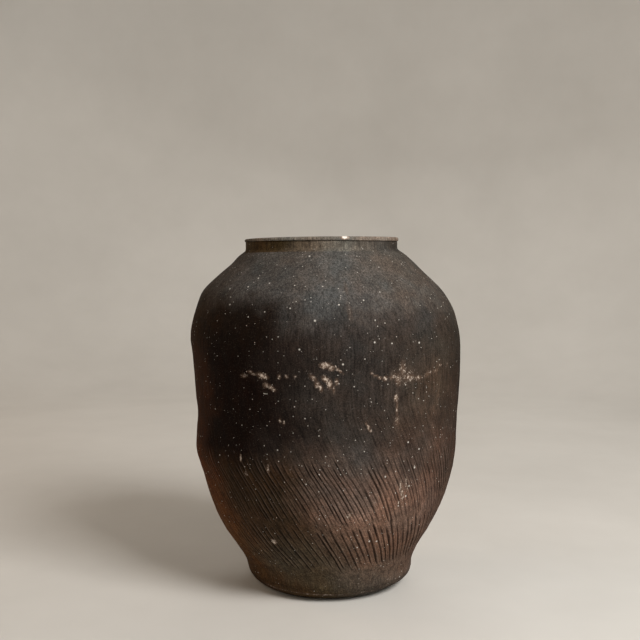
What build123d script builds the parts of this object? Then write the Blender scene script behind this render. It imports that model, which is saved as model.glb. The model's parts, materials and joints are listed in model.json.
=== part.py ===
"""Hand-built storage jar of dark fired clay.

The jar is raised in sections that are luted together with slip: a floor slab, four rings of
wall, a short neck and a rolled lip, with a coil of clay pressed from the inside over the
joints that carry most: at the floor, round the belly and under the neck. Millimetres, +Z up,
and the origin is at the middle of the face that the jar stands on.
"""

import os

from build123d import *

# Driving dimensions
HEIGHT = 400.0
FOOT_CONTACT_RADIUS = 76.0
HEEL_RADIUS = 95.5
HEEL_HEIGHT = 12.0
WALL_FOOT_RADIUS = 94.5
BELLY_RADIUS = 156.0
BELLY_HEIGHT = 281.0
SHOULDER_RADIUS = 90.0
NECK_RADIUS = 87.5
LIP_RADIUS = 89.0
MOUTH_RADIUS = 78.0

SLAB_THICKNESS = 16.0
WALL_THICKNESS = 9.0

# Heights of the luted joints, measured on the outside, and how far each bevel drops inwards
FOOT_JOINT = 101.0
BELLY_JOINT = 250.0
SHOULDER_JOINT = 320.0
WALL_BEVEL = 6.0
NECK_JOINT = 384.0
NECK_BEVEL = 8.0
LIP_JOINT = 395.0

# Neck and lip, in section: the flare under the neck, the crown that the lip sits astride, and
# the lip's fullest height above its joint and its two rounded edges
NECK_FLARE = 4.0
NECK_CROWN = 1.4
LIP_BULGE = 2.4
LIP_OUTER_ROUND = 2.5
LIP_INNER_ROUND = 3.0

# Coils pressed over the joints from the inside
BASE_COIL_LEG = 15.0
BASE_COIL_TOE = 1.0
BELLY_COIL_HEIGHT = 34.0
BELLY_COIL_THICKNESS = 4.0
NECK_COIL_HEIGHT = 14.0
NECK_COIL_THICKNESS = 3.5
NECK_COIL_DROP = 1.0

INNER_STATIONS = 11
QUARTER_ROUND = 1 - 0.5**0.5


def at(radius, height):
    """A point of the profile, in the plane that is turned round the jar's axis."""
    return Vector(radius, 0, height)


def ring(*edges):
    """The solid that a closed outline makes when it turns round the jar's axis."""
    return revolve(make_face(Wire(list(edges))), Axis.Z)


def polygon_ring(*corners):
    """The solid that a closed outline of straight lines makes."""
    return revolve(make_face(Polyline(*corners, close=True)), Axis.Z)


def point_at(line, height):
    """Where a profile line passes a height, found by halving."""
    low, high = 0.0, 1.0
    for _ in range(40):
        middle = (low + high) / 2
        if (line @ middle).Z < height:
            low = middle
        else:
            high = middle
    return line @ low


def outer_line():
    """The outside of the walls, from the floor slab up to the neck."""
    stations = [
        at(WALL_FOOT_RADIUS, SLAB_THICKNESS),
        at(105.5, 45),
        at(121.5, 71),
        at(135.5, 101),
        at(147.0, 145),
        at(152.0, 210),
        at(BELLY_RADIUS, BELLY_HEIGHT),
        at(147.0, 321),
        at(118.0, 359.5),
        at(SHOULDER_RADIUS, NECK_JOINT),
    ]
    return Spline(*stations, tangents=[(0.12, 0, 1), (-1.12, 0, 1)])


def inner_line(outer):
    """The inside of the walls: the outside moved in by the wall's thickness, with a stouter
    edge at the top that carries the neck."""
    moved = []
    for i in range(INNER_STATIONS - 1):
        along = i / (INNER_STATIONS - 1)
        tangent = outer % along
        inward = Vector(-tangent.Z, 0, tangent.X)
        moved.append((outer @ along) + inward * WALL_THICKNESS)
    foot = at(moved[0].X, SLAB_THICKNESS)
    neck_seat = at(MOUTH_RADIUS, NECK_JOINT - NECK_BEVEL)
    return Spline(foot, *moved[1:], neck_seat)


def whole_wall(outer, inner):
    """All four rings of wall before their joints divide them."""
    return ring(outer, Line(outer @ 1, inner @ 1), inner, Line(inner @ 0, outer @ 0))


def cavity(inner):
    """The space that the walls enclose, which every inside coil keeps to."""
    foot, top = inner @ 0, inner @ 1
    return ring(
        inner,
        Line(top, at(0, top.Z)),
        Line(at(0, top.Z), at(0, foot.Z)),
        Line(at(0, foot.Z), foot),
    )


def above_joint(outer, inner, height):
    """Everything above a bevelled joint, which runs down towards the inside."""
    joint = point_at(outer, height)
    inside = point_at(inner, height - WALL_BEVEL)
    clear = 2 * BELLY_RADIUS
    slope = (joint.Z - inside.Z) / (joint.X - inside.X)
    return polygon_ring(
        at(0, joint.Z - slope * joint.X),
        at(clear, joint.Z + slope * (clear - joint.X)),
        at(clear, 2 * HEIGHT),
        at(0, 2 * HEIGHT),
    )


def wall_rings(outer, inner):
    """The four rings of wall by name, from the foot up."""
    rest = whole_wall(outer, inner)
    rings = {}
    for name, top in (
        ("foot_wall", FOOT_JOINT),
        ("lower_wall", BELLY_JOINT),
        ("upper_wall", SHOULDER_JOINT),
    ):
        above = above_joint(outer, inner, top)
        rings[name] = rest - above
        rest = rest & above
    rings["shoulder_wall"] = rest
    return rings


def floor_slab():
    """The round slab that the jar stands on, with its pinched and rounded heel."""
    foot = at(FOOT_CONTACT_RADIUS, 0)
    heel = at(HEEL_RADIUS, HEEL_HEIGHT)
    pinch = at(WALL_FOOT_RADIUS, SLAB_THICKNESS)
    tuck = (foot + heel) / 2 + at(0.25 * HEEL_HEIGHT, -0.2 * HEEL_HEIGHT)
    return ring(
        Spline(foot, tuck, heel, tangents=[(1, 0, 0.1), (0.3, 0, 1)]),
        Line(heel, pinch),
        Line(pinch, at(0, SLAB_THICKNESS)),
        Line(at(0, SLAB_THICKNESS), at(0, 0)),
        Line(at(0, 0), foot),
    )


def base_coil(inside):
    """The coil smeared into the corner between the slab and the foot wall."""
    back = WALL_FOOT_RADIUS
    toe_radius = WALL_FOOT_RADIUS - WALL_THICKNESS - BASE_COIL_LEG + BASE_COIL_TOE
    toe = at(toe_radius, SLAB_THICKNESS)
    top = SLAB_THICKNESS + BASE_COIL_LEG
    edge = point_at(inside, top)
    hollow = at(edge.X - 0.65 * BASE_COIL_LEG, SLAB_THICKNESS + 0.3 * BASE_COIL_LEG)
    return ring(
        ThreePointArc(toe, hollow, edge),
        Line(edge, at(back, top)),
        Line(at(back, top), at(back, SLAB_THICKNESS)),
        Line(at(back, SLAB_THICKNESS), toe),
    ) & cavity(inside)


def pressed_coil(inside, middle, height, thickness):
    """A flattened coil over a joint: a shallow crown on the inside, bedded on the wall."""
    low = point_at(inside, middle - height / 2)
    high = point_at(inside, middle + height / 2)
    along = (high - low).normalized()
    inward = Vector(-along.Z, 0, along.X)
    behind = inward * -WALL_THICKNESS
    return ring(
        ThreePointArc(low, (low + high) / 2 + inward * thickness, high),
        Line(high, high + behind),
        Line(high + behind, low + behind),
        Line(low + behind, low),
    ) & cavity(inside)


def neck_blank():
    """The short upright neck, flaring into the shoulder, with a crowned top under the lip."""
    foot = at(SHOULDER_RADIUS, NECK_JOINT)
    waist = at(NECK_RADIUS, NECK_JOINT + NECK_FLARE)
    outer_top = at(NECK_RADIUS, LIP_JOINT)
    inner_top = at(MOUTH_RADIUS, LIP_JOINT)
    seat = at(MOUTH_RADIUS, NECK_JOINT - NECK_BEVEL)
    crown = (outer_top + inner_top) / 2 + at(0, NECK_CROWN)
    return ring(
        Spline(foot, waist, tangents=[(-1, 0, 1), (0, 0, 1)]),
        Line(waist, outer_top),
        ThreePointArc(outer_top, crown, inner_top),
        Line(inner_top, seat),
        Line(seat, foot),
    )


def lip_roll(neck):
    """The rolled coil that finishes the mouth, sitting astride the crowned top of the neck."""
    outer_foot = at(NECK_RADIUS, LIP_JOINT)
    bulge = at(LIP_RADIUS, LIP_JOINT + LIP_BULGE)
    outer_top = at(LIP_RADIUS - LIP_OUTER_ROUND, HEIGHT)
    inner_top = at(MOUTH_RADIUS + LIP_INNER_ROUND, HEIGHT)
    inner_side = at(MOUTH_RADIUS, HEIGHT - LIP_INNER_ROUND)
    corner = LIP_INNER_ROUND * QUARTER_ROUND
    inner_foot = at(MOUTH_RADIUS, LIP_JOINT)
    roll = ring(
        Spline(outer_foot, bulge, outer_top, tangents=[(1, 0, 0.8), (-1, 0, 0.3)]),
        Line(outer_top, inner_top),
        ThreePointArc(inner_top, at(MOUTH_RADIUS + corner, HEIGHT - corner), inner_side),
        Line(inner_side, inner_foot),
        Line(inner_foot, outer_foot),
    )
    return roll - neck


def build():
    """Every piece of the jar by name."""
    outer = outer_line()
    inner = inner_line(outer)
    belly_middle = BELLY_JOINT - WALL_BEVEL / 2
    neck_middle = NECK_JOINT - NECK_BEVEL - NECK_COIL_DROP - NECK_COIL_HEIGHT / 2
    neck = neck_blank()
    return {
        "floor_slab": floor_slab(),
        "base_coil": base_coil(inner),
        **wall_rings(outer, inner),
        "belly_seam_coil": pressed_coil(
            inner, belly_middle, BELLY_COIL_HEIGHT, BELLY_COIL_THICKNESS
        ),
        "neck_seam_coil": pressed_coil(
            inner, neck_middle, NECK_COIL_HEIGHT, NECK_COIL_THICKNESS
        ),
        "neck_collar": neck,
        "lip_roll": lip_roll(neck),
    }


os.makedirs("parts", exist_ok=True)
for name, piece in build().items():
    export_step(piece, f"parts/{name}.step")
    print(f"{name}: {piece.volume / 1e6:.3f} litres of clay")
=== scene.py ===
"""Looks of the dark fired-clay storage jar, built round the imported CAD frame.

Every piece of the jar is a stack of rings: closed loops of points that go round the jar, each
shifted and tilted a little, as a hand-built pot is. Lengths are millimetres until a mesh is made,
and metres in the materials and the studio. Azimuth 0 faces the camera (-Y) and grows towards +X.
"""

import json
import math

import bpy
import numpy as np
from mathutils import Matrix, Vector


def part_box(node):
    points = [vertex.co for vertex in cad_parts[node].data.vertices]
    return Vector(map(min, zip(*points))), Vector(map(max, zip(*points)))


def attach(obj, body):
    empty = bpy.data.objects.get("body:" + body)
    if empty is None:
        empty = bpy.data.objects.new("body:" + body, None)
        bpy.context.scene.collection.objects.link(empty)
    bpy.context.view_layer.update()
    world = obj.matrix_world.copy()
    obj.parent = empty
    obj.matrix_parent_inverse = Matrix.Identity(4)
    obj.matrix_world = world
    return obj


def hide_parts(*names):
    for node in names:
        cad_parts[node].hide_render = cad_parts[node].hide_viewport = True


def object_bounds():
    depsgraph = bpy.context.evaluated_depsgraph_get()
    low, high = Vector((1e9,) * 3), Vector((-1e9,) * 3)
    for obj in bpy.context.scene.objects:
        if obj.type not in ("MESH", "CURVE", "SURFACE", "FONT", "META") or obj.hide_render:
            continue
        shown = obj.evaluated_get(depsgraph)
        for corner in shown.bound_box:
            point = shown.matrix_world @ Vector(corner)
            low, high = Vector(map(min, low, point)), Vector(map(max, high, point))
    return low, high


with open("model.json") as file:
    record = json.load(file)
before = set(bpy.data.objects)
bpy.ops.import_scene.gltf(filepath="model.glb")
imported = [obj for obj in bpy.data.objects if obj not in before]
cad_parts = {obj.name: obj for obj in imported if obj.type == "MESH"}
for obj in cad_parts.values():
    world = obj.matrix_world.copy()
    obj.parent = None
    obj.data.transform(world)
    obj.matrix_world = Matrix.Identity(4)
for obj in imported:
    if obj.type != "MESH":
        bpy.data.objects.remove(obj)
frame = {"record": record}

CAD_LOW, CAD_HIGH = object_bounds()
MM = 0.001
SEED = 41

# Heights and radii that the CAD frame gives
HEIGHT = CAD_HIGH[2] / MM
SLAB_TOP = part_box("floor_slab")[1].z / MM
FOOT_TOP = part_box("foot_wall")[1].z / MM
LOWER_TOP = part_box("lower_wall")[1].z / MM
UPPER_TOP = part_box("upper_wall")[1].z / MM
SHOULDER_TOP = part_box("shoulder_wall")[1].z / MM
COLLAR_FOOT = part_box("neck_collar")[0].z / MM
LIP_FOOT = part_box("lip_roll")[0].z / MM
WALL_BEVEL = FOOT_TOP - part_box("lower_wall")[0].z / MM
NECK_BEVEL = SHOULDER_TOP - COLLAR_FOOT
LIP_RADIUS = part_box("lip_roll")[1].x / MM
MOUTH = next(mount for mount in frame["record"]["mounts"] if mount["name"] == "mouth")
MOUTH_RADIUS = MOUTH["dims"]["r_mm"]

# Thickness of the wall and of the flattened coils inside it, as in the CAD
WALL = 9.0
BELLY_COIL = 4.0
NECK_COIL = 3.5
SEAT_EASE = 14.0           # the wall's inside eases into the neck's seat over this height

# The outside of the body: height, radius, and how far the ring's middle stands off the axis
OUTLINE = np.array([
    (0, 74.0, 1.0), (4, 82.5, 3.0), (10, 90.7, 5.0), (17, 95.0, 5.5), (26, 96.6, 4.8),
    (45, 105.3, 2.8), (70, 120.8, 1.8), (100, 134.7, 2.1), (130, 143.8, 2.5),
    (160, 150.3, 1.0), (178, 150.5, 1.6), (195, 150.2, 2.6), (220, 152.0, 2.3),
    (250, 153.5, 2.0), (268, 154.4, 1.2), (284, 155.2, 0.2), (300, 153.3, -0.5),
    (320, 147.2, -0.9), (340, 136.6, -2.9), (360, 116.9, -3.4), (374, 102.2, -3.0),
    (378, 98.2, -3.6), (381.5, 94.4, -4.0), (384.5, 90.4, -4.3), (386.5, 88.1, -4.3),
    (388.5, 87.5, -4.3), (392, 87.5, -4.3), (400, 87.5, -4.3),
])
INWARD = 0.7               # mean depth of the dents, which the skin is raised by to keep the outline
GIRTH_RADIUS = 150.0       # radius that the dents and lumps are sized at

# Relief of the outside: depth, size and seed of each layer of dents, which only cut into the skin,
# and of each layer of lumps, which go both ways. The neck keeps only a share of it.
SKIN_DENTS = ((0.45, 95, 2), (0.25, 42, 3))
SKIN_LUMPS = ((0.20, 17, 4), (0.12, 6, 5))
NECK_SHARE = 0.25

# The rim is not level: its highest point's azimuth, its drop opposite, and where the tilt starts
RIM_PEAK = math.radians(45)
RIM_DROP = 3.4
RIM_WAVE = 1.5             # above 1, the low side is narrower than the high side
TILT_FROM = 330.0

# Each ring of points has these columns, which follow the combed strokes so that they cut cleanly,
# and rings are about a pitch apart
COLUMNS = 1440
NECK_COLUMNS = COLUMNS // 2
INSIDE_COLUMNS = COLUMNS // 4
ROW_PITCH = 2.5
INNER_PITCH = 9.0
SHOULDER_INNER_PITCH = 5.0

# The comb's marks
STROKE_SLANT = math.radians(27)
SWAY = math.radians(2.6)   # how much the slant changes round the jar
SWAY_WAVES = (2, 3, 5, 7, 11)
SWAY_START = (20, 60)      # heights over which the sway sets in
SWAY_FADE = 50.0           # and the height above the comb's marks over which it ends
COMB_TOP = 188.0
COMB_FOOT = 42.0
COMB_FADE = 60.0           # columns straighten over this height above the comb's marks
SHEAR_STEPS = 240
STROKE_WIDTH = 1.1         # half-width of a groove, in columns
STROKE_DEPTH = 1.45
STROKE_REACH = 6           # columns on each side of a groove that it changes
BURR_HEIGHT = 0.32         # of the groove's depth
BURR_OFFSET = 2.3          # from the groove's middle, in its half-widths
BURR_WIDTH = 0.8           # in the same half-widths
TINES = (4, 8)             # of a comb: from the first number up to one below the second
SCRATCHES = 230            # fine ones in each tier

# Tiers of comb sweeps: top, foot, raggedness of the top, pitch in columns, boldness
TIERS = (
    (COMB_TOP, 99.0, 32.0, 8.8, 0.85),
    (102.0, COMB_FOOT, 5.0, 13.5, 1.15),
)

# How deep a full scrape cuts, and the depths below the outside over which scrapes fade out and
# the inside's colour begins
SCRAPE_DEPTH = 0.35
SCRAPE_END = (4, 6)
INSIDE_START = (6, 8)

# Neck and lip: the flare's height, how far the lip's outermost edge stands over the neck, and the
# height of the crease under the lip
NECK_FLARE = 7.0
LIP_STANDOFF = 1.4
CREASE_HEIGHT = 1.6

HEEL_RISE = 0.4            # the heel's dents are shallower than the wall's by this
COIL_BED = 1.0             # how far a coil reaches into the wall behind it


def whole_turn(columns):
    """Azimuth of each of a ring's columns, from 0 up."""
    return np.arange(columns) / columns * 2 * math.pi


def smooth(value, low, high):
    """0 below low, 1 above high, eased between."""
    t = np.clip((value - low) / (high - low), 0.0, 1.0)
    return t * t * (3 - 2 * t)


def curve_through(stations, heights, column):
    """Smooth curve through the stations (cubic Hermite with averaged slopes)."""
    z, v = stations[:, 0], stations[:, column]
    slope = np.gradient(v, z)
    k = np.clip(np.searchsorted(z, heights, side="right") - 1, 0, len(z) - 2)
    span = z[k + 1] - z[k]
    t = np.clip((heights - z[k]) / span, 0.0, 1.0)
    return ((2 * t**3 - 3 * t**2 + 1) * v[k] + (t**3 - 2 * t**2 + t) * span * slope[k]
            + (3 * t**2 - 2 * t**3) * v[k + 1] + (t**3 - t**2) * span * slope[k + 1])


def outer_radius(heights):
    """Radius of the undented skin: above the mean by as much as the dents take away."""
    body = 1 - smooth(heights, SHOULDER_TOP - 6, SHOULDER_TOP + 4)
    return curve_through(OUTLINE, heights, 1) + INWARD * body * smooth(heights, 0, 20)


def inner_radius(heights):
    """The wall's inside: the outside moved in square to its slope, with a stouter top edge."""
    step = 1.0
    slope = (outer_radius(heights + step) - outer_radius(heights - step)) / (2 * step)
    moved = outer_radius(heights) - WALL * np.sqrt(1 + slope**2)
    eased = smooth(heights, COLLAR_FOOT - SEAT_EASE, COLLAR_FOOT)
    return moved + (MOUTH_RADIUS - moved) * eased


def lumps(azimuth, height, size, seed, stretch=1.0):
    """Smooth random relief, -1 to 1, on a cylinder of the jar's girth.

    size is a lump's width in mm, seed picks the pattern, and stretch is height over width."""
    rng = np.random.default_rng(SEED + seed)
    around = max(3, round(2 * math.pi * GIRTH_RADIUS / size))
    layers = int(HEIGHT / (size * stretch)) + 4
    values = rng.uniform(-1, 1, (layers, around))
    u = np.mod(azimuth / (2 * math.pi), 1.0) * around
    v = np.clip(height, 0, HEIGHT) / (size * stretch) + 1
    u0, v0 = np.floor(u).astype(int), np.floor(v).astype(int)
    fu, fv = u - u0, v - v0
    fu, fv = fu * fu * (3 - 2 * fu), fv * fv * (3 - 2 * fv)
    a = values[v0, u0 % around] * (1 - fu) + values[v0, (u0 + 1) % around] * fu
    b = values[v0 + 1, u0 % around] * (1 - fu) + values[v0 + 1, (u0 + 1) % around] * fu
    return a * (1 - fv) + b * fv


def shear(heights):
    """How far a column has turned by a height, so that columns run along the strokes."""
    fine = np.linspace(SLAB_TOP, COMB_TOP + COMB_FADE, SHEAR_STEPS)
    share = smooth(fine, SLAB_TOP, COMB_FOOT) * (1 - smooth(fine, COMB_TOP, COMB_TOP + COMB_FADE))
    rate = share * math.tan(STROKE_SLANT) / outer_radius(fine)
    turned = np.concatenate([[0.0], np.cumsum((rate[1:] + rate[:-1]) / 2 * np.diff(fine))])
    return turned[-1] - np.interp(heights, fine, turned)


def azimuths(heights, columns):
    """Azimuth of each point of rings at these heights."""
    around = whole_turn(columns)
    sway = np.zeros((len(heights), columns))
    rng = np.random.default_rng(SEED)
    for waves in SWAY_WAVES:
        phase = rng.uniform(0, 2 * math.pi)
        sway += np.sin(waves * around[None, :] + phase) / waves
    tall = ((heights - FOOT_TOP) / (COMB_TOP - FOOT_TOP))[:, None]
    fade = smooth(heights, *SWAY_START) * (1 - smooth(heights, COMB_TOP, COMB_TOP + SWAY_FADE))
    return around[None, :] + shear(heights)[:, None] + SWAY * sway * tall * fade[:, None]


def sweep(rng, column, tier):
    """One pull of the comb, starting at a column: its strokes and the column after them."""
    top, foot, ragged, pitch, boldness = tier
    dip = 0.5 - 0.5 * math.sin(2 * math.pi * column / COLUMNS)
    sweep_top = top - ragged * (0.5 * dip + rng.uniform(0, 0.5))
    sweep_foot = foot + rng.uniform(-3, 5)
    sweep_depth = boldness * rng.uniform(0.8, 1.0)
    sweep_lean = rng.uniform(-3.0, 3.0)
    strokes = []
    for _ in range(rng.integers(*TINES)):
        strokes.append((
            column + rng.uniform(-1.0, 1.0),
            sweep_top - rng.uniform(-3, 7),
            sweep_foot + rng.uniform(-3, 4),
            STROKE_DEPTH * sweep_depth * rng.uniform(0.6, 1.15),
            STROKE_WIDTH * boldness * rng.uniform(0.8, 1.3),
            sweep_lean + rng.uniform(-1.2, 1.2),
        ))
        column += pitch * rng.uniform(0.75, 1.25)
    return strokes, column


def scratch(rng, tier):
    """One fine scratch between a tier's strokes."""
    top, foot = tier[:2]
    start = rng.uniform(foot, top - 20)
    return (
        rng.uniform(0, COLUMNS), start + rng.uniform(16, 60), start,
        rng.uniform(0.12, 0.42), rng.uniform(0.7, 1.0), rng.uniform(-5, 5),
    )


def comb_strokes():
    """Every stroke as (column, top, foot, depth, half-width, lean in columns): tiers of comb
    sweeps, each a few tines wide, and finer scratches between them."""
    rng = np.random.default_rng(SEED + 1)
    strokes = []
    for tier in TIERS:
        column = 0.0
        pitch = tier[3]
        while column < COLUMNS - pitch / 2:
            tines, column = sweep(rng, column, tier)
            strokes += tines
        strokes += [scratch(rng, tier) for _ in range(SCRATCHES)]
    return strokes


def comb_relief(heights, columns):
    """Depth of the combed grooves and height of their burrs, in mm, over rings of points."""
    relief = np.zeros((len(heights), columns))
    offsets = np.arange(-STROKE_REACH, STROKE_REACH + 1)
    for column, top, foot, depth, width, lean in comb_strokes():
        rows = np.nonzero((heights > foot - 6) & (heights < top + 6))[0]
        z = heights[rows]
        along = (z - foot) / (top - foot)
        press = smooth(z, foot - 5, foot + 6) * (1 - smooth(z, top - 8, top + 3))
        unsteady = 0.8 + 0.2 * np.sin(z / 7.0 + 2.4 * column)
        wander = 0.35 * np.sin(z / 9.0 + 1.7 * column)
        middle = column + lean * (along - 0.5) + wander
        nearest = np.round(middle).astype(int)
        cols = nearest[:, None] + offsets[None, :]
        away = (cols - middle[:, None]) / width
        groove = -np.exp(-0.5 * away**2)
        burr = BURR_HEIGHT * np.exp(-0.5 * ((away - BURR_OFFSET) / BURR_WIDTH)**2)
        cut = (groove + burr) * (depth * press * unsteady)[:, None]
        np.add.at(relief, (rows[:, None], cols % columns), cut)
    return relief


# Pale scrapes, chips and worn edges: azimuth (degrees), height, half-width, half-height, lean
# (rise for each mm to the right), strength. Those past 90 degrees lie behind.
SCRAPES = (
    (-34.5, 255, 3.6, 1.7, 0.0, 0.6), (-30.6, 258.8, 4.0, 1.2, -0.3, 0.8),
    (-25.8, 256.4, 4.6, 1.9, -0.2, 1.1), (-24.6, 247.0, 2.4, 1.8, 0.0, 0.9),
    (-22.0, 244.4, 3.2, 1.8, -0.5, 0.9), (-18.7, 256.4, 1.5, 1.4, 0.0, 0.9),
    (-15.8, 256.6, 1.8, 1.2, 0.0, 0.8), (-12.4, 256.8, 1.3, 1.1, 0.0, 0.6),
    (-5.4, 256.0, 3.0, 2.2, -0.6, 0.7), (-0.8, 269.0, 3.9, 2.1, 0.0, 1.05),
    (1.6, 266.2, 2.2, 1.9, 0.0, 1.05), (4.2, 264.4, 3.6, 1.1, -0.8, 0.9),
    (-4.0, 249.0, 2.2, 2.2, 0.0, 0.9), (-2.6, 245.0, 1.6, 2.6, 0.0, 0.7),
    (-0.8, 254.8, 2.8, 2.1, -0.4, 1.05), (0.7, 250.0, 1.9, 3.3, 0.0, 1.05),
    (3.4, 252.0, 1.6, 2.4, 0.0, 0.8), (2.2, 244.0, 1.2, 3.6, 0.0, 0.6),
    (17.6, 258.8, 2.6, 0.9, -0.6, 0.8), (20.2, 255.4, 3.2, 1.0, -0.5, 0.9),
    (22.6, 254.2, 1.9, 1.6, 0.0, 0.9), (26.0, 255.4, 3.4, 1.7, 0.3, 0.7),
    (28.3, 252.0, 3.0, 5.0, 0.0, 0.62), (30.5, 262.0, 3.6, 8.0, 0.0, 0.48),
    (33.5, 254.0, 7.0, 3.4, 0.0, 0.55), (32.0, 256.0, 15.0, 9.0, 0.0, 0.32),
    (38.0, 252.4, 5.0, 2.0, 0.0, 0.6), (43.6, 255.0, 6.0, 2.2, 0.3, 0.5),
    (48.5, 257.4, 3.0, 1.5, 0.0, 0.6),
    (52.0, 263.0, 2.6, 1.2, 0.0, 0.55), (57.5, 261.4, 2.4, 1.2, 0.0, 0.5),
    (27.4, 233.0, 1.7, 2.4, 0.0, 1.0), (28.0, 222.0, 1.3, 8.0, 0.0, 0.55),
    (28.2, 209.0, 2.0, 5.0, 0.0, 0.5), (-19.2, 210.6, 1.0, 1.6, 0.0, 0.9),
    (-17.6, 209.0, 0.9, 1.3, 0.0, 0.9), (14.9, 208.6, 1.1, 1.0, 0.0, 0.9),
    (15.8, 204.4, 1.2, 1.6, 0.0, 1.0), (16.6, 201.0, 1.3, 1.1, 0.0, 0.9),
    (31.4, 139.5, 0.8, 4.6, 0.0, 1.0), (34.2, 142.0, 0.8, 4.0, 0.0, 1.0),
    (32.6, 131.5, 0.9, 4.4, 0.0, 1.1), (35.4, 133.5, 0.7, 3.6, 0.0, 0.9),
    (33.6, 124.5, 0.9, 3.4, 0.0, 1.0), (32.0, 119.0, 1.3, 1.6, 0.0, 1.0),
    (-37.0, 167.0, 0.9, 2.8, 0.0, 1.1), (-34.8, 151.7, 0.9, 2.2, 0.0, 1.0),
    (-23.9, 159.5, 1.0, 3.0, 0.0, 1.1), (9.2, 109.6, 2.4, 2.0, 0.8, 0.9),
    (-27.7, 74.1, 2.2, 1.9, 0.0, 1.5), (10.6, 346.0, 2.2, 8.0, 0.0, 0.28),
    (10.0, 322.0, 3.0, 10.0, 0.0, 0.28), (16.4, 399.2, 3.0, 1.7, 0.0, 2.0),
    (31.0, 399.4, 4.0, 0.8, 0.0, 0.6),
    (44.0, 399.3, 5.0, 0.9, 0.0, 0.7), (58.0, 399.2, 3.0, 0.8, 0.0, 0.6),
    (-40.0, 10.6, 22.0, 1.1, 0.0, 0.46), (-8.0, 10.0, 30.0, 1.0, 0.0, 0.52),
    (24.0, 10.4, 16.0, 1.0, 0.0, 0.44),
    (96.0, 253.0, 3.0, 1.3, 0.2, 0.7), (107.0, 256.5, 5.0, 1.6, -0.2, 0.9),
    (111.0, 251.0, 2.4, 2.6, 0.0, 0.8), (131.0, 255.0, 3.6, 1.1, 0.0, 0.7),
    (149.0, 250.0, 2.6, 2.0, 0.0, 0.9), (153.0, 254.5, 4.4, 1.5, 0.3, 1.0),
    (178.0, 256.0, 4.0, 1.2, 0.0, 0.6), (-163.0, 252.0, 2.2, 3.0, 0.0, 0.9),
    (-158.0, 248.5, 3.4, 1.6, -0.4, 0.9), (-136.0, 255.0, 4.8, 1.3, 0.0, 0.7),
    (-118.0, 257.0, 2.4, 1.4, 0.0, 0.8), (-96.0, 251.0, 3.0, 1.5, 0.2, 0.7),
    (-128.0, 131.0, 1.4, 4.6, 0.0, 0.8), (142.0, 116.0, 2.0, 2.6, 0.6, 0.9),
    (121.0, 397.9, 3.4, 1.2, 0.0, 1.2),
    (-147.0, 96.0, 2.0, 1.8, 0.0, 1.1),
)


def scrape_mask(azimuth, height, radius):
    """How much of a pale scrape each point carries, 0 to the strongest scrape's strength."""
    mask = np.zeros(azimuth.shape)
    for degrees, level, half_width, half_height, lean, strength in SCRAPES:
        turn = np.mod(azimuth - math.radians(degrees) + math.pi, 2 * math.pi) - math.pi
        across = turn * radius
        up = height - level - lean * across
        away = (across / half_width)**2 + (up / half_height)**2
        mask = np.maximum(mask, strength * np.exp(-0.5 * away))
    return mask


def clay_marks(azimuth, radius, height):
    """What the clay's material reads at each point: its pale scrapes, and 1 where it is inside."""
    depth = outer_radius(height) - radius
    scrape = scrape_mask(azimuth, height, radius) * (1 - smooth(depth, *SCRAPE_END))
    return {"scrape": scrape, "inside": smooth(depth, *INSIDE_START)}


def place(azimuth, radius, height):
    """Points in the row frame, in metres: each ring off the axis, and the rim tilted."""
    drift = curve_through(OUTLINE, height, 2)
    wave = (0.5 - 0.5 * np.cos(azimuth - RIM_PEAK))**RIM_WAVE
    drop = RIM_DROP * wave * smooth(height, TILT_FROM, SHOULDER_TOP)
    x = drift + radius * np.sin(azimuth)
    y = -radius * np.cos(azimuth)
    return np.stack([x, y, height - drop], axis=-1) * MM


def grain_points(heights, columns):
    """Where ring points would be if their columns ran straight up: texture follows the strokes."""
    around = whole_turn(columns)
    rise = np.repeat(heights[:, None], columns, axis=1)
    girth = outer_radius(rise)
    return np.stack([girth * np.sin(around), -girth * np.cos(around), rise], axis=-1) * MM


def ring_faces(count, columns, closed):
    """Quads between neighbouring rings; closed joins the last ring to the first as well."""
    ring = np.arange(count if closed else count - 1)[:, None]
    column = np.arange(columns)[None, :]
    over = (ring + 1) % count
    beside = (column + 1) % columns
    corners = [ring * columns + column, ring * columns + beside,
               over * columns + beside, over * columns + column]
    return np.stack(corners, axis=-1).reshape(-1, 4).tolist()


def pole_faces(count, columns):
    """Triangles that close both ends of an open stack; its two poles are its last points."""
    below = count * columns
    edge = below - columns
    pairs = [(c, (c + 1) % columns) for c in range(columns)]
    faces = [(b, a, below) for a, b in pairs]
    return faces + [(edge + a, edge + b, below + 1) for a, b in pairs]


def mark_sharp_rings(mesh, columns, corners):
    """Makes the edges along the given rings sharp."""
    ends = np.empty(2 * len(mesh.edges), int)
    mesh.edges.foreach_get("vertices", ends)
    at_ring = ends.reshape(-1, 2) // columns
    sharp = (at_ring[:, 0] == at_ring[:, 1]) & np.isin(at_ring[:, 0], corners)
    mesh.attributes.new("sharp_edge", "BOOLEAN", "EDGE").data.foreach_set("value", sharp)


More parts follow.
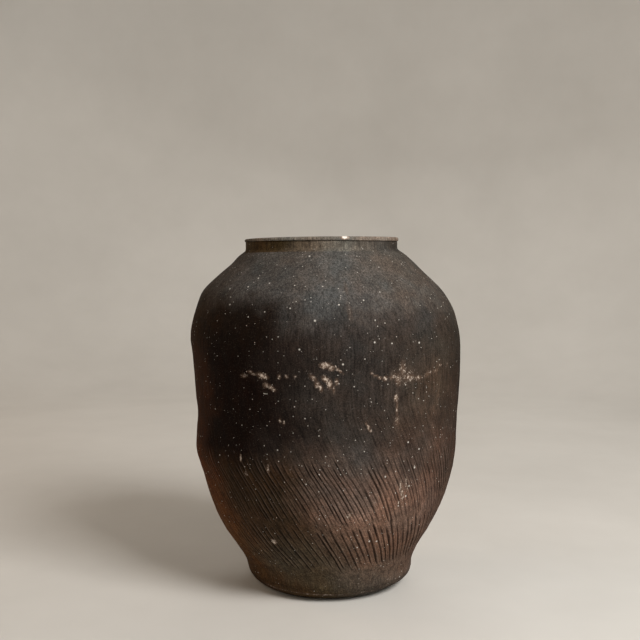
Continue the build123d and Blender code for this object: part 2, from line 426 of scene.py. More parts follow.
def ring_piece(name, rings, marks, corners=(), poles=None, grain=None):
    """A closed mesh from rings of points, shape (rings, columns, 3), joined in turn.

    marks are the values that the material reads at each point. corners are the rings where the
    surface turns a sharp edge. poles are the two points that close the ends of an open stack;
    without them the last ring joins the first. grain is where the texture puts each point.
    """
    count, columns = rings.shape[:2]
    points = rings.reshape(-1, 3)
    faces = ring_faces(count, columns, poles is None)
    if poles is not None:
        points = np.concatenate([points, np.array(poles)])
        faces += pole_faces(count, columns)
    mesh = bpy.data.meshes.new(name)
    mesh.from_pydata(points.tolist(), [], faces)
    mesh.polygons.foreach_set("use_smooth", [True] * len(mesh.polygons))
    mark_sharp_rings(mesh, columns, corners)
    for mark, values in marks.items():
        padded = np.zeros(len(points))
        padded[:values.size] = values.ravel()
        mesh.attributes.new(mark, "FLOAT", "POINT").data.foreach_set("value", padded)
    spots = points if grain is None else grain
    mesh.attributes.new("grain", "FLOAT_VECTOR", "POINT").data.foreach_set("vector", spots.ravel())
    piece = bpy.data.objects.new(name, mesh)
    bpy.context.scene.collection.objects.link(piece)
    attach(piece, "root")
    return piece


def rows_between(low, high, pitch=ROW_PITCH):
    """Evenly spaced heights, both ends among them, about a pitch apart."""
    return np.linspace(low, high, max(2, round((high - low) / pitch) + 1))


def skin_relief(azimuth, height):
    """Dents and lumps of a hand-beaten wall."""
    share = 1 - (1 - NECK_SHARE) * smooth(height, SHOULDER_TOP - 20, SHOULDER_TOP + 2)
    dents = sum(depth * (lumps(azimuth, height, size, seed) - 1) for depth, size, seed in SKIN_DENTS)
    bumps = sum(depth * lumps(azimuth, height, size, seed) for depth, size, seed in SKIN_LUMPS)
    return (dents + bumps) * share


def finger_ridges(azimuth, height):
    """Low ridges that the potter's fingers left on the inside of the wall."""
    return 0.8 * lumps(azimuth, height, 26, 7, 0.5)


def wall_piece(name, low, high, low_bevel, high_bevel, inner_pitch=INNER_PITCH):
    """One ring of wall: outside, top joint face, inside and bottom joint face.

    The bevels are how far each joint drops from the outside to the inside."""
    outer = rows_between(low, high)
    inner = rows_between(low - low_bevel, high - high_bevel, inner_pitch)[::-1]
    outer_az = azimuths(outer, COLUMNS)
    outer_h = np.repeat(outer[:, None], COLUMNS, axis=1)
    comb = comb_relief(outer, COLUMNS)
    radius = outer_radius(outer)[:, None] + skin_relief(outer_az, outer_h) + comb
    scrape = scrape_mask(outer_az, outer_h, radius)
    radius -= SCRAPE_DEPTH * np.clip(scrape, 0, 1)
    rise = ((inner - inner[-1]) / (inner[0] - inner[-1]))[:, None]
    inner_az = outer_az[:1] * (1 - rise) + outer_az[-1:] * rise
    inner_h = np.repeat(inner[:, None], COLUMNS, axis=1)
    hollow = inner_radius(inner)[:, None] + finger_ridges(inner_az, inner_h)
    azimuth = np.concatenate([outer_az, inner_az])
    height = np.concatenate([outer_h, inner_h])
    radius = np.concatenate([radius, hollow])
    marks = clay_marks(azimuth, radius, height)
    marks["comb"] = np.concatenate([comb, np.zeros(inner_h.shape)])
    grain = grain_points(np.concatenate([outer, inner]), COLUMNS)
    last = len(outer) - 1
    corners = (0, last, last + 1, last + len(inner))
    return ring_piece(name, place(azimuth, radius, height), marks, corners, grain=grain)


def finish_piece(piece, node, material):
    """Hides the CAD node that a piece stands for, and gives the piece its clay."""
    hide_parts(node)
    piece.data.materials.append(material)


def around_ring(columns):
    """Azimuths of a ring's columns, from straight behind round past the front."""
    return whole_turn(columns) - math.pi


def profile_piece(name, profile, columns, relief, corners=()):
    """A closed ring turned from a section of (radius, height) corners.

    Each radius and height is a number, or an array with a value for each column."""
    around = around_ring(columns)[None, :]
    radius = np.concatenate([np.broadcast_to(r, (1, columns)) for r, _ in profile])
    height = np.concatenate([np.broadcast_to(h, (1, columns)) for _, h in profile])
    azimuth = np.repeat(around, len(profile), axis=0)
    radius = radius + relief(azimuth, height)
    marks = clay_marks(azimuth, radius, height)
    rings = place(azimuth, radius - 2 * SCRAPE_DEPTH * np.clip(marks["scrape"], 0, 1), height)
    return ring_piece(name, rings, marks, corners)


def lip_thickness(azimuth):
    """Height of the rolled lip, thinnest at the left."""
    return 3.7 + 0.5 * np.cos(azimuth) + 0.7 * np.sin(azimuth)


def lip_overhang(azimuth):
    """How far the roll stands out over the neck, most at the front."""
    return 0.9 + 0.5 * np.cos(azimuth) + 0.25 * np.sin(azimuth)


def crease_depth(azimuth):
    """Depth of the crease under the roll, deepest at the front left."""
    return 0.35 + 0.6 * np.exp(-(((azimuth + math.radians(25)) / math.radians(38))**2))


def floor_slab():
    """The slab with its rounded heel: underside, heel and the floor of the jar."""
    under = [12.0, 40.0, 62.0]
    heel = np.concatenate([[0, 0.4, 1.2, 2.4], rows_between(4, SLAB_TOP, 1.5)])
    top = [outer_radius(SLAB_TOP) - 6, 40.0, 12.0]
    heights = np.concatenate([np.zeros(len(under)), heel, np.full(len(top), SLAB_TOP)])
    radii = np.concatenate([under, outer_radius(heel), top])
    azimuth, height = np.meshgrid(around_ring(INSIDE_COLUMNS), heights)
    radius = np.repeat(radii[:, None], INSIDE_COLUMNS, axis=1)
    skin = (skin_relief(azimuth, height) + HEEL_RISE) * smooth(height, 1.0, 8.0)
    radius = radius + skin * (radius > under[-1])
    rings = place(azimuth, radius, height)
    marks = clay_marks(azimuth, radius, height)
    top_edge = len(under) + len(heel) - 1
    poles = [(0, 0, 0), (0, 0, SLAB_TOP * MM)]
    return ring_piece("slab_with_heel", rings, marks, (top_edge,), poles)


def neck_piece():
    """The short neck, from its flare up to the crease under the lip, then down the mouth."""
    around = around_ring(NECK_COLUMNS)
    top = HEIGHT - lip_thickness(around)
    crease = crease_depth(around)
    flare = rows_between(SHOULDER_TOP, SHOULDER_TOP + NECK_FLARE, 0.8)
    profile = [(outer_radius(z), z) for z in flare]
    waist = float(profile[-1][0])
    upright = top - CREASE_HEIGHT - flare[-1]
    profile += [(waist, flare[-1] + share * upright) for share in (0.35, 0.7, 1.0)]
    profile += [(waist - 0.45 * crease, top - CREASE_HEIGHT / 2), (waist - crease, top - 0.1)]
    profile += [((waist + MOUTH_RADIUS) / 2, top + 1.0), (MOUTH_RADIUS, LIP_FOOT)]
    profile += [(MOUTH_RADIUS, z) for z in (LIP_FOOT - 5, LIP_FOOT - 12, COLLAR_FOOT)]
    return profile_piece("short_neck", profile, NECK_COLUMNS, skin_relief, (0, len(profile) - 1))


def lip_piece():
    """The rolled lip: from the crease round its outer edge, over the top and down the mouth."""
    around = around_ring(NECK_COLUMNS)
    foot = HEIGHT - lip_thickness(around)
    waist = LIP_RADIUS - LIP_STANDOFF
    edge = waist + lip_overhang(around)
    neck = waist - crease_depth(around)
    profile = [
        (neck, foot + 0.2), (neck + 0.6 * (edge - neck), foot - 0.05), (edge - 0.25, foot + 0.35),
        (edge, foot + 1.0), (edge, HEIGHT - 1.5), (edge - 0.3, HEIGHT - 0.7),
        (edge - 1.1, HEIGHT - 0.15), (edge - 2.6, HEIGHT), (MOUTH_RADIUS + 4, HEIGHT),
        (MOUTH_RADIUS + 1.6, HEIGHT - 0.5), (MOUTH_RADIUS + 0.4, HEIGHT - 1.6),
        (MOUTH_RADIUS, HEIGHT - 3), (MOUTH_RADIUS, LIP_FOOT),
        ((neck + MOUTH_RADIUS) / 2, foot + 1.0),
    ]
    return profile_piece("rolled_lip", profile, NECK_COLUMNS, lip_relief)


def lip_relief(azimuth, height):
    """Waves of the fingers along the lip, with small lumps on them."""
    return 0.25 * (lumps(azimuth, 0 * height, 33, 13) - 0.4) + 0.12 * lumps(azimuth, height, 8, 14)


def finger_dents(azimuth, height):
    """Dents that fingers leave in a coil pressed on the inside."""
    return 0.7 * lumps(azimuth, height, 24, 21)


def pressed_coil(name, node, thickness):
    """A coil pressed flat over a joint on the inside, as high as its CAD node."""
    low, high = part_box(node)
    levels = np.linspace(low.z / MM, high.z / MM, 9)
    crown = thickness * np.sin(np.linspace(0, math.pi, len(levels)))
    inner = inner_radius(levels)
    profile = list(zip(inner - crown, levels))
    profile += [(inner[k] + COIL_BED, levels[k]) for k in (-2, 1)]
    return profile_piece(name, profile[::-1], INSIDE_COLUMNS, finger_dents)


def floor_coil():
    """The coil smeared into the corner of floor and wall, hollow like a fillet."""
    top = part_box("base_coil")[1].z / MM
    leg = top - SLAB_TOP
    corner = float(inner_radius(SLAB_TOP + leg / 2))
    turns = np.linspace(0, math.pi / 2, 9)
    profile = [(corner - leg * (1 - math.sin(turn)), top - leg * math.cos(turn)) for turn in turns]
    profile += [(corner + 3 * COIL_BED, top), (corner + COIL_BED, SLAB_TOP)]
    return profile_piece("floor_coil", profile[::-1], INSIDE_COLUMNS, finger_dents)


# ---------------------------------------------------------------- materials


# Sockets of the mix node when it mixes colours, which share their names with other sockets
MIX_FACTOR = 0
MIX_COLOURS = (6, 7)
MIX_RESULT = 2


class Surface:
    """One procedural material, with a short method for each kind of node that it uses."""

    def __init__(self, name):
        self.material = bpy.data.materials.new(name)
        self.material.use_nodes = True
        self.nodes = self.material.node_tree.nodes
        self.links = self.material.node_tree.links
        self.shader = self.nodes["Principled BSDF"]

    def put(self, socket, value):
        """Links a socket to another node's output, or sets it to a number or a colour."""
        if isinstance(value, bpy.types.NodeSocket):
            self.links.new(value, socket)
        elif hasattr(value, "__len__") and len(value) == 3 and len(socket.default_value) == 4:
            socket.default_value = (*value, 1.0)
        else:
            socket.default_value = value

    def object_spot(self):
        """Where a point is in the row frame, in metres."""
        return self.nodes.new("ShaderNodeTexCoord").outputs["Object"]

    def attribute(self, name):
        """The node that reads one of the mesh's marks."""
        node = self.nodes.new("ShaderNodeAttribute")
        node.attribute_name = name
        return node

    def math(self, operation, a, b=0.0):
        """Arithmetic on two values."""
        node = self.nodes.new("ShaderNodeMath")
        node.operation = operation
        self.put(node.inputs[0], a)
        self.put(node.inputs[1], b)
        return node.outputs[0]

    def noise(self, vector, scale, detail, roughness=0.5):
        """Noise from about 0.2 to 0.8; scale is in features for each metre."""
        node = self.nodes.new("ShaderNodeTexNoise")
        self.put(node.inputs["Vector"], vector)
        node.inputs["Scale"].default_value = scale
        node.inputs["Detail"].default_value = detail
        node.inputs["Roughness"].default_value = roughness
        return node.outputs["Fac"]

    def stretch(self, vector, scale):
        """A place scaled along each axis."""
        node = self.nodes.new("ShaderNodeMapping")
        self.put(node.inputs["Vector"], vector)
        node.inputs["Scale"].default_value = scale
        return node.outputs[0]

    def fit(self, value, low, high, to_low=0.0, to_high=1.0):
        """A value's place between low and high, held within 0 and 1 or the given ends."""
        node = self.nodes.new("ShaderNodeMapRange")
        self.put(node.inputs["Value"], value)
        node.inputs["From Min"].default_value = low
        node.inputs["From Max"].default_value = high
        node.inputs["To Min"].default_value = to_low
        node.inputs["To Max"].default_value = to_high
        return node.outputs["Result"]

    def ramp(self, value, stops):
        """The colour at a value between stops of (position, colour)."""
        node = self.nodes.new("ShaderNodeValToRGB")
        self.put(node.inputs["Fac"], value)
        elements = node.color_ramp.elements
        while len(elements) < len(stops):
            elements.new(0.5)
        for element, (position, colour) in zip(elements, stops):
            element.position = position
            element.color = (*colour, 1.0)
        return node.outputs["Color"]

    def mix(self, factor, a, b, blend="MIX"):
        """Colour a with b laid over it by a factor."""
        node = self.nodes.new("ShaderNodeMix")
        node.data_type = "RGBA"
        node.blend_type = blend
        self.put(node.inputs[MIX_FACTOR], factor)
        self.put(node.inputs[MIX_COLOURS[0]], a)
        self.put(node.inputs[MIX_COLOURS[1]], b)
        return node.outputs[MIX_RESULT]

    def bump(self, height, strength, distance, below=None):
        """The surface's normal with fine relief added, over an earlier bump if there is one."""
        node = self.nodes.new("ShaderNodeBump")
        self.put(node.inputs["Height"], height)
        node.inputs["Strength"].default_value = strength
        node.inputs["Distance"].default_value = distance
        if below is not None:
            self.put(node.inputs["Normal"], below)
        return node.outputs[0]


# Colour of the clay by height (as a share of the jar's) in sectors round the jar; the two left
# sectors add painted shade and painted warm reflected light
# Far left: brown clay with painted warm reflected light and painted shade
FAR_LEFT = (
    (0.00, (0.038, 0.021, 0.009)), (0.20, (0.080, 0.034, 0.012)), (0.36, (0.066, 0.021, 0.007)),
    (0.55, (0.034, 0.011, 0.003)), (0.75, (0.020, 0.008, 0.002)), (0.82, (0.030, 0.022, 0.016)),
    (0.88, (0.052, 0.044, 0.038)), (1.00, (0.058, 0.048, 0.040)),
)
# Left of the front: sooted clay, darker and warmer still from painted shade, nearly black through
# the belly
SOOTED_AND_SHADED = (
    (0.00, (0.037, 0.023, 0.010)), (0.12, (0.062, 0.049, 0.033)), (0.22, (0.040, 0.025, 0.014)),
    (0.38, (0.028, 0.015, 0.007)), (0.46, (0.0050, 0.0016, 0.0006)),
    (0.68, (0.0050, 0.0016, 0.0006)), (0.78, (0.008, 0.004, 0.002)),
    (0.85, (0.055, 0.051, 0.048)), (1.00, (0.070, 0.063, 0.056)),
)
FRONT = (
    (0.00, (0.034, 0.032, 0.027)), (0.10, (0.078, 0.055, 0.041)), (0.17, (0.110, 0.064, 0.044)),
    (0.28, (0.154, 0.094, 0.070)), (0.40, (0.058, 0.046, 0.040)), (0.47, (0.026, 0.021, 0.018)),
    (0.66, (0.023, 0.0185, 0.016)), (0.76, (0.027, 0.023, 0.021)), (0.84, (0.064, 0.060, 0.057)),
    (1.00, (0.080, 0.074, 0.067)),
)
RIGHT = (
    (0.00, (0.047, 0.038, 0.034)), (0.10, (0.078, 0.048, 0.035)), (0.28, (0.093, 0.056, 0.043)),
    (0.45, (0.050, 0.032, 0.024)), (0.60, (0.043, 0.030, 0.021)), (0.72, (0.029, 0.023, 0.018)),
    (0.79, (0.032, 0.027, 0.024)), (0.84, (0.066, 0.057, 0.050)), (1.00, (0.070, 0.062, 0.053)),
)
FAR_RIGHT = (
    (0.00, (0.050, 0.038, 0.030)), (0.10, (0.058, 0.037, 0.026)), (0.28, (0.050, 0.029, 0.020)),
    (0.45, (0.023, 0.013, 0.009)), (0.60, (0.011, 0.006, 0.004)), (0.76, (0.020, 0.015, 0.011)),
    (0.86, (0.046, 0.038, 0.032)), (1.00, (0.046, 0.040, 0.033)),
)
BACK = (
    (0.00, (0.048, 0.036, 0.026)), (0.12, (0.060, 0.040, 0.028)), (0.28, (0.104, 0.062, 0.044)),
    (0.42, (0.042, 0.028, 0.021)), (0.60, (0.020, 0.015, 0.012)), (0.74, (0.024, 0.019, 0.016)),
    (0.84, (0.058, 0.052, 0.047)), (1.00, (0.062, 0.055, 0.048)),
)
BODY_SECTORS = (FAR_LEFT, SOOTED_AND_SHADED, FRONT, RIGHT, FAR_RIGHT, BACK)

# Azimuths, in degrees, over which one sector's colour turns into the next
SECTOR_EDGES = ((-72, -48), (-29, 3), (14, 50), (47, 73))
BACK_EDGE = (86, 116)
RAGGED_TURN = 45.0        # how far a blotch moves those edges, in degrees
RAGGED_LEVEL = 0.16       # how far it moves the ramps, as a share of the jar's height
EDGE_SLANT_TOP = 165.0         # below this height the sectors' edges slant like the comb strokes
EDGE_SLANT = 0.20         # degrees for each mm


def plain_sector(*colour):
    """A ramp that hardly changes with height, for the neck, the lip and the inside."""
    darker = tuple(0.85 * channel for channel in colour)
    return (0.0, darker), (1.0, colour)


# The two left neck colours are darker, warmer browns: partly the clay's colour, partly painted warm
# shade
NECK_SECTORS = (
    plain_sector(0.043, 0.029, 0.015), plain_sector(0.046, 0.029, 0.012),
    plain_sector(0.106, 0.096, 0.081), plain_sector(0.050, 0.043, 0.037),
    plain_sector(0.030, 0.026, 0.022), plain_sector(0.056, 0.047, 0.038),
)
LIP_SECTORS = (
    plain_sector(0.062, 0.050, 0.037), plain_sector(0.165, 0.146, 0.123),
    plain_sector(0.118, 0.110, 0.097), plain_sector(0.182, 0.149, 0.122),
    plain_sector(0.150, 0.122, 0.100), plain_sector(0.090, 0.078, 0.066),
)
INSIDE = (0.040, 0.031, 0.025)
INSIDE_SECTORS = (plain_sector(*INSIDE),) * len(BODY_SECTORS)

# Tints that the clay's colour is multiplied by, and colours laid over it
RUST = (1.08, 0.98, 0.92)
SOOT_BLUE = (0.93, 1.00, 1.04)
# Painted shade laid into the comb's grooves
GROOVE_SHADE = (0.006, 0.004, 0.003)
# Pale colour of the burrs beside the grooves: partly worn clay, partly a painted highlight
BURR = (0.20, 0.145, 0.115)
DUST = (0.080, 0.064, 0.050)
SCUFF = (0.10, 0.062, 0.042)
TAN = (0.26, 0.19, 0.145)
PALE = (0.62, 0.54, 0.47)
FRESH = (0.86, 0.80, 0.73)
GRIT = (0.62, 0.59, 0.54)

# The noises that the clay uses: features for each metre, detail, roughness
BROAD = (14.0, 3.0, 0.6)
BLOTCH = (26.0, 4.0, 0.6)
MOTTLE = (70.0, 4.0, 0.65)
STREAKS = (480.0, 2.0, 0.6)
STREAK_STRETCH = (1.0, 1.0, 0.10)
SAND = (750.0, 2.0, 0.7)
POWDER = (640.0, 2.0, 0.8)
CHALK = (430.0, 4.0, 0.75)

# How far the finer noises darken and lighten the clay, and the bumps that they raise: strength
# and distance in metres
MOTTLE_SCALE = (0.70, 1.31)
STREAK_SCALE = (0.50, 1.55)
STREAK_SHARE = 0.75
SAND_SCALE = (0.50, 1.60)
MOTTLE_BUMP = (0.4, 0.0020)
STREAK_BUMP = (0.4, 0.0009)
SAND_BUMP = (0.5, 0.0006)
ROUGHNESS = (0.84, 0.97)
SPECULAR = 0.08

# Where each overlay sets in and is full, by what it follows, and how much it then covers
# The groove overlay is painted shade; the burr overlay is partly a painted highlight
GROOVE_DEPTHS = (-0.15, -0.80)
GROOVE_COVER = 0.75
BURR_HEIGHTS = (0.03, 0.28)
BURR_COVER = 0.35
DUST_NOISE = (0.56, 0.72)
DUST_COVER = 0.32
SCUFF_SCRAPE = (0.12, 0.50)
SCUFF_COVER = 0.6
CRUMBLE = 2.6              # how strongly the chalk noise breaks up a scrape's edge
CHALK_EDGE = (0.45, 0.95)
FRESH_SCRAPE = (1.1, 1.5)
GRIT_COVER = 0.85
FLECK_COVER = 0.8
FLECK_EDGE = (1.2, 0.5)    # in the fleck's own radius

# Three sizes of scattered grit: cells for each metre, share of cells with a speck, radius in metres
GRIT_SIZES = ((60.0, 0.42, 0.0013), (150.0, 0.25, 0.0009), (330.0, 0.3, 0.0006))
GRIT_EDGE = 0.04           # how soft a speck's edge is, in cells

# Larger flecks of grit that stand out on the front: azimuth (degrees), height, radius
FLECKS = (
    (-34, 356, 1.0), (-37, 347, 1.0), (-48, 344, 1.0), (-26, 351, 0.9), (-33, 372, 0.6),
    (-13, 349, 0.8), (0, 348, 0.8), (-14, 326, 0.9), (-25, 322, 0.8), (33, 367, 0.7),
    (30, 374, 0.6), (54, 370, 0.8), (17, 334, 0.9), (26, 342, 0.8), (20, 314, 0.8), (7, 346, 0.7),
    (-4, 314, 1.2), (-10, 285, 1.0), (26, 290, 0.9), (39, 289, 1.1), (6, 270, 1.1), (10, 247, 0.8),
    (-37, 168, 1.3), (34, 185, 1.0), (40, 176, 1.0), (24, 151, 1.1), (35, 155, 0.7),
    (38, 157, 1.3), (36, 137, 1.2), (35, 126, 1.2), (32, 116, 0.9), (21, 77, 1.2), (25, 76, 1.2),
    (56, 161, 0.7), (-13, 226, 0.7), (-9, 214, 0.8), (-25, 238, 0.7), (-20, 180, 0.8),
)


def sector_colour(clay, spot, broad, sectors):
    """The clay's colour, with the painted shade and painted warm reflected light that the left
    sectors carry: ramps of height that change from sector to sector.
    """
    split = clay.nodes.new("ShaderNodeSeparateXYZ")
    clay.put(split.inputs[0], spot)
    x, y, z = split.outputs
    drift = clay.math("SUBTRACT", broad, 0.5)
    level = clay.math("DIVIDE", z, HEIGHT * MM)
    level = clay.math("ADD", level, clay.math("MULTIPLY", drift, RAGGED_LEVEL))
    turn = clay.math("ARCTAN2", x, clay.math("MULTIPLY", y, -1.0))
    turn = clay.math("MULTIPLY", turn, math.degrees(1))
    ragged = clay.math("ADD", turn, clay.math("MULTIPLY", drift, RAGGED_TURN))
    below = clay.math("MINIMUM", clay.math("SUBTRACT", z, EDGE_SLANT_TOP * MM), 0.0)
    ragged = clay.math("ADD", ragged, clay.math("MULTIPLY", below, EDGE_SLANT / MM))
    colour, *others, back = [clay.ramp(level, sector) for sector in sectors]
    for other, (low, high) in zip(others, SECTOR_EDGES):
        colour = clay.mix(clay.fit(ragged, low, high), colour, other)
    return clay.mix(clay.fit(clay.math("ABSOLUTE", turn), *BACK_EDGE), colour, back)


def vary(clay, colour, noise, low, high, share=1.0):
    """A share of a colour scaled by a noise: by low where it is low, by high where it is high."""
    scale = clay.ramp(noise, ((0.3, (low, low, low)), (0.7, (high, high, high))))
    return clay.mix(share, colour, scale, "MULTIPLY")


def add_grit(clay, colour, spot, cells_per_metre, share, size):
    """Pale specks of grit, one in each of some of the cells."""
    cells = clay.nodes.new("ShaderNodeTexVoronoi")
    clay.put(cells.inputs["Vector"], spot)
    cells.inputs["Scale"].default_value = cells_per_metre
    pick = clay.nodes.new("ShaderNodeSeparateColor")
    clay.put(pick.inputs[0], cells.outputs["Color"])
    picked = clay.fit(pick.outputs[0], 1.0 - share, 1.0)
    reach = clay.math("MULTIPLY", picked, size * cells_per_metre)
    within = clay.math("SUBTRACT", reach, cells.outputs["Distance"])
    speck = clay.fit(within, 0.0, GRIT_EDGE)
    return clay.mix(clay.math("MULTIPLY", speck, GRIT_COVER), colour, GRIT)


def add_flecks(clay, colour, spot):
    """The larger flecks of grit, each at its own place."""
    mask = 0.0
    for degrees, height, radius in FLECKS:
        level = np.array([float(height)])
        middle = place(np.array([math.radians(degrees)]), outer_radius(level) - INWARD, level)[0]
        away = clay.nodes.new("ShaderNodeVectorMath")
        away.operation = "DISTANCE"
        clay.put(away.inputs[0], spot)
        away.inputs[1].default_value = tuple(middle)
        outer, inner = (share * radius * MM for share in FLECK_EDGE)
        near = clay.fit(away.outputs["Value"], outer, inner)
        mask = clay.math("MAXIMUM", mask, near)
    return clay.mix(clay.math("MULTIPLY", mask, FLECK_COVER), colour, GRIT)


def add_scrapes(clay, colour, spot):
    """Pale, crumbly scrapes with a brown scuff round them, and fresh clay where they are deep."""
    chalk = clay.noise(spot, *CHALK)
    scrape = clay.attribute("scrape").outputs["Fac"]
    crumble = clay.math("MULTIPLY", clay.math("SUBTRACT", chalk, 0.5), CRUMBLE)
    edge = clay.math("ADD", scrape, crumble)
    scuffed = clay.math("MULTIPLY", clay.fit(scrape, *SCUFF_SCRAPE), SCUFF_COVER)
    colour = clay.mix(scuffed, colour, SCUFF)
    powder = clay.ramp(chalk, ((0.42, TAN), (0.66, PALE)))
    colour = clay.mix(clay.fit(edge, *CHALK_EDGE), colour, powder)
    return clay.mix(clay.fit(scrape, *FRESH_SCRAPE), colour, FRESH)


def add_comb(clay, colour):
    """Painted shade in the grooves where the comb cut, and paler burrs beside them that are partly a
    painted highlight.
    """
    comb = clay.attribute("comb").outputs["Fac"]
    groove = clay.math("MULTIPLY", clay.fit(comb, *GROOVE_DEPTHS), GROOVE_COVER)
    burr = clay.math("MULTIPLY", clay.fit(comb, *BURR_HEIGHTS), BURR_COVER)
    colour = clay.mix(groove, colour, GROOVE_SHADE)
    return clay.mix(burr, colour, BURR)


def add_dust(clay, colour, spot):
    """A thin powdering of pale dust."""
    dust = clay.fit(clay.noise(spot, *POWDER), *DUST_NOISE)
    return clay.mix(clay.math("MULTIPLY", dust, DUST_COVER), colour, DUST)


def clay_material(name, sectors, flecks=False):
    """Matt, sandy fired clay in the colours of the given sectors."""
    clay = Surface(name)
    spot = clay.object_spot()
    grain = clay.attribute("grain").outputs["Vector"]
    broad = clay.noise(spot, *BROAD)
    blotch = clay.noise(spot, *BLOTCH)
    mottle = clay.noise(spot, *MOTTLE)
    streaks = clay.noise(clay.stretch(grain, STREAK_STRETCH), *STREAKS)
    sand = clay.noise(spot, *SAND)
    colour = sector_colour(clay, spot, broad, sectors)
    colour = clay.mix(clay.attribute("inside").outputs["Fac"], colour, INSIDE)
    tint = clay.ramp(blotch, ((0.35, RUST), (0.65, SOOT_BLUE)))
    colour = clay.mix(1.0, colour, tint, "MULTIPLY")
    colour = vary(clay, colour, mottle, *MOTTLE_SCALE)
    colour = vary(clay, colour, streaks, *STREAK_SCALE, STREAK_SHARE)
    colour = vary(clay, colour, sand, *SAND_SCALE)
    colour = add_comb(clay, colour)
    colour = add_dust(clay, colour, spot)
    for cells_per_metre, share, size in GRIT_SIZES:
        colour = add_grit(clay, colour, spot, cells_per_metre, share, size)
    if flecks:
        colour = add_flecks(clay, colour, spot)
    colour = add_scrapes(clay, colour, spot)
    clay.put(clay.shader.inputs["Base Color"], colour)
    clay.put(clay.shader.inputs["Roughness"], clay.fit(mottle, 0.3, 0.7, *ROUGHNESS))
    clay.shader.inputs["Specular IOR Level"].default_value = SPECULAR
    relief = clay.bump(sand, *SAND_BUMP)
    relief = clay.bump(streaks, *STREAK_BUMP, relief)
    relief = clay.bump(mottle, *MOTTLE_BUMP, relief)
    clay.put(clay.shader.inputs["Normal"], relief)
    return clay.material


def paper_material():
    """Pale, matt paper for the studio's floor and wall."""
    paper = Surface("studio_paper")
    spot = paper.object_spot()
    mottle = paper.noise(spot, 3.0, 4.0, 0.6)
    colour = paper.ramp(mottle, ((0.3, (0.60, 0.585, 0.555)), (0.7, (0.66, 0.645, 0.615))))
    tooth = paper.noise(spot, 60.0, 3.0)
    paper.put(paper.shader.inputs["Base Color"], colour)
    paper.shader.inputs["Roughness"].default_value = 0.9
    paper.put(paper.shader.inputs["Normal"], paper.bump(tooth, 0.1, 0.001))
    return paper.material


# ---------------------------------------------------------------- the jar

slab = floor_slab()
foot = wall_piece("combed_foot", SLAB_TOP, FOOT_TOP, 0.0, WALL_BEVEL)
lower = wall_piece("combed_belly", FOOT_TOP, LOWER_TOP, WALL_BEVEL, WALL_BEVEL)
upper = wall_piece("upper_belly", LOWER_TOP, UPPER_TOP, WALL_BEVEL, WALL_BEVEL)
shoulder = wall_piece("shoulder", UPPER_TOP, SHOULDER_TOP, WALL_BEVEL, NECK_BEVEL,
                      SHOULDER_INNER_PITCH)
neck = neck_piece()
lip = lip_piece()
corner_coil = floor_coil()
belly_coil = pressed_coil("belly_coil", "belly_seam_coil", BELLY_COIL)
neck_coil = pressed_coil("neck_coil", "neck_seam_coil", NECK_COIL)

body_clay = clay_material("fired_clay", BODY_SECTORS, flecks=True)
neck_clay = clay_material("neck_clay", NECK_SECTORS)
lip_clay = clay_material("lip_clay", LIP_SECTORS)
inside_clay = clay_material("inside_clay", INSIDE_SECTORS)

for piece, node, slot, material in (
    (slab, "floor_slab", "foot_clay", body_clay),
    (foot, "foot_wall", "foot_clay", body_clay),
    (lower, "lower_wall", "lower_clay", body_clay),
    (upper, "upper_wall", "upper_clay", body_clay),
    (shoulder, "shoulder_wall", "upper_clay", body_clay),
    (neck, "neck_collar", "upper_clay", neck_clay),
    (lip, "lip_roll", "lip_clay", lip_clay),
    (corner_coil, "base_coil", "inner_clay", inside_clay),
    (belly_coil, "belly_seam_coil", "inner_clay", inside_clay),
    (neck_coil, "neck_seam_coil", "inner_clay", inside_clay),
):
    finish_piece(piece, node, material)


# ---------------------------------------------------------------- studio


# The studio, in metres: a round floor that bends up into a wall
FLOOR_RADIUS = 1.5
WALL_BEND = 0.8
WALL_TOP = 3.2
BOWL_SEGMENTS = 96
BEND_STEPS = 12
INNER_FLOOR_RINGS = (0.5, 1.0)

# Lights: name, azimuth and elevation in degrees, distance and size in metres, watts, colour
LIGHTS = (
    ("key", 42, 38, 2.1, 0.9, 48, (1.0, 0.97, 0.93)),
    ("warm_fill", -105, 22, 2.0, 1.0, 4.5, (1.0, 0.62, 0.34)),
    ("back_fill", 172, 38, 2.1, 1.2, 9, (1.0, 0.95, 0.88)),
)
LIGHT_TARGET = 0.2         # height on the jar that the lights face
AIR_STRENGTH = 0.03
AIR_COLOUR = (1.0, 0.97, 0.92)

# The camera: just under the rim's height, looking down a little
EYE = (-0.006, -1.158, 0.3853)
LOOK_DOWN = math.radians(4.004)
LENS = 56.25
SENSOR = 36.0


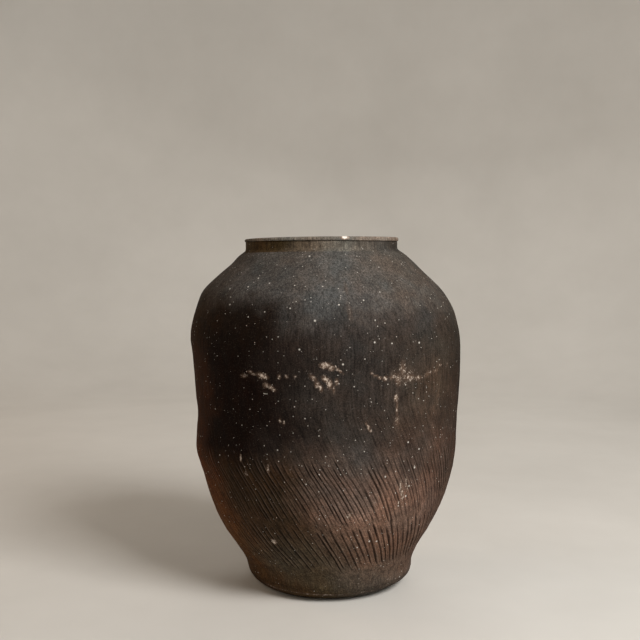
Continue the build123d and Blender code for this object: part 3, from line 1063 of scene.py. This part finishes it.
def studio_bowl():
    """Pale floor that curves up into a wall all round, well clear of the jar."""
    line = [(radius, 0.0) for radius in (*INNER_FLOOR_RINGS, FLOOR_RADIUS)]
    for angle in np.linspace(0, math.pi / 2, BEND_STEPS + 1)[1:]:
        out = FLOOR_RADIUS + WALL_BEND * math.sin(angle)
        line.append((out, WALL_BEND * (1 - math.cos(angle))))
    line.append((FLOOR_RADIUS + WALL_BEND, WALL_TOP))
    points = [(0.0, 0.0, 0.0)]
    for radius, height in line:
        for turn in whole_turn(BOWL_SEGMENTS):
            points.append((radius * math.sin(turn), -radius * math.cos(turn), height))
    pairs = [(k, (k + 1) % BOWL_SEGMENTS) for k in range(BOWL_SEGMENTS)]
    faces = [(0, 1 + a, 1 + b) for a, b in pairs]
    for ring in range(len(line) - 1):
        low = 1 + ring * BOWL_SEGMENTS
        high = low + BOWL_SEGMENTS
        faces += [(low + a, high + a, high + b, low + b) for a, b in pairs]
    mesh = bpy.data.meshes.new("studio_bowl")
    mesh.from_pydata(points, [], faces)
    mesh.polygons.foreach_set("use_smooth", [True] * len(mesh.polygons))
    mesh.materials.append(paper_material())
    bowl = bpy.data.objects.new("studio_bowl", mesh)
    bpy.context.scene.collection.objects.link(bowl)


def area_light(name, azimuth, elevation, distance, size, power, colour):
    """A soft square light that faces the jar."""
    light = bpy.data.lights.new(name, "AREA")
    light.size = size
    light.energy = power
    light.color = colour
    lamp = bpy.data.objects.new(name, light)
    turn = math.radians(azimuth)
    rise = math.radians(elevation)
    out = distance * math.cos(rise)
    up = LIGHT_TARGET + distance * math.sin(rise)
    lamp.location = (out * math.sin(turn), -out * math.cos(turn), up)
    lamp.rotation_euler = (math.pi / 2 - rise, 0.0, turn)
    lamp.visible_camera = False
    bpy.context.scene.collection.objects.link(lamp)


def world_light(strength, colour):
    """Dim, even light from all round."""
    world = bpy.data.worlds.new("studio_air")
    world.use_nodes = True
    background = world.node_tree.nodes["Background"]
    background.inputs["Color"].default_value = (*colour, 1.0)
    background.inputs["Strength"].default_value = strength
    bpy.context.scene.world = world


def camera():
    """The view from the front, from just under the rim's height."""
    lens = bpy.data.cameras.new("photo_camera")
    lens.lens = LENS
    lens.sensor_width = SENSOR
    eye = bpy.data.objects.new("photo_camera", lens)
    eye.location = EYE
    eye.rotation_euler = (math.pi / 2 - LOOK_DOWN, 0.0, 0.0)
    bpy.context.scene.collection.objects.link(eye)
    bpy.context.scene.camera = eye


studio_bowl()
for light in LIGHTS:
    area_light(*light)
world_light(AIR_STRENGTH, AIR_COLOUR)
camera()
bpy.context.scene.view_settings.view_transform = "Standard"
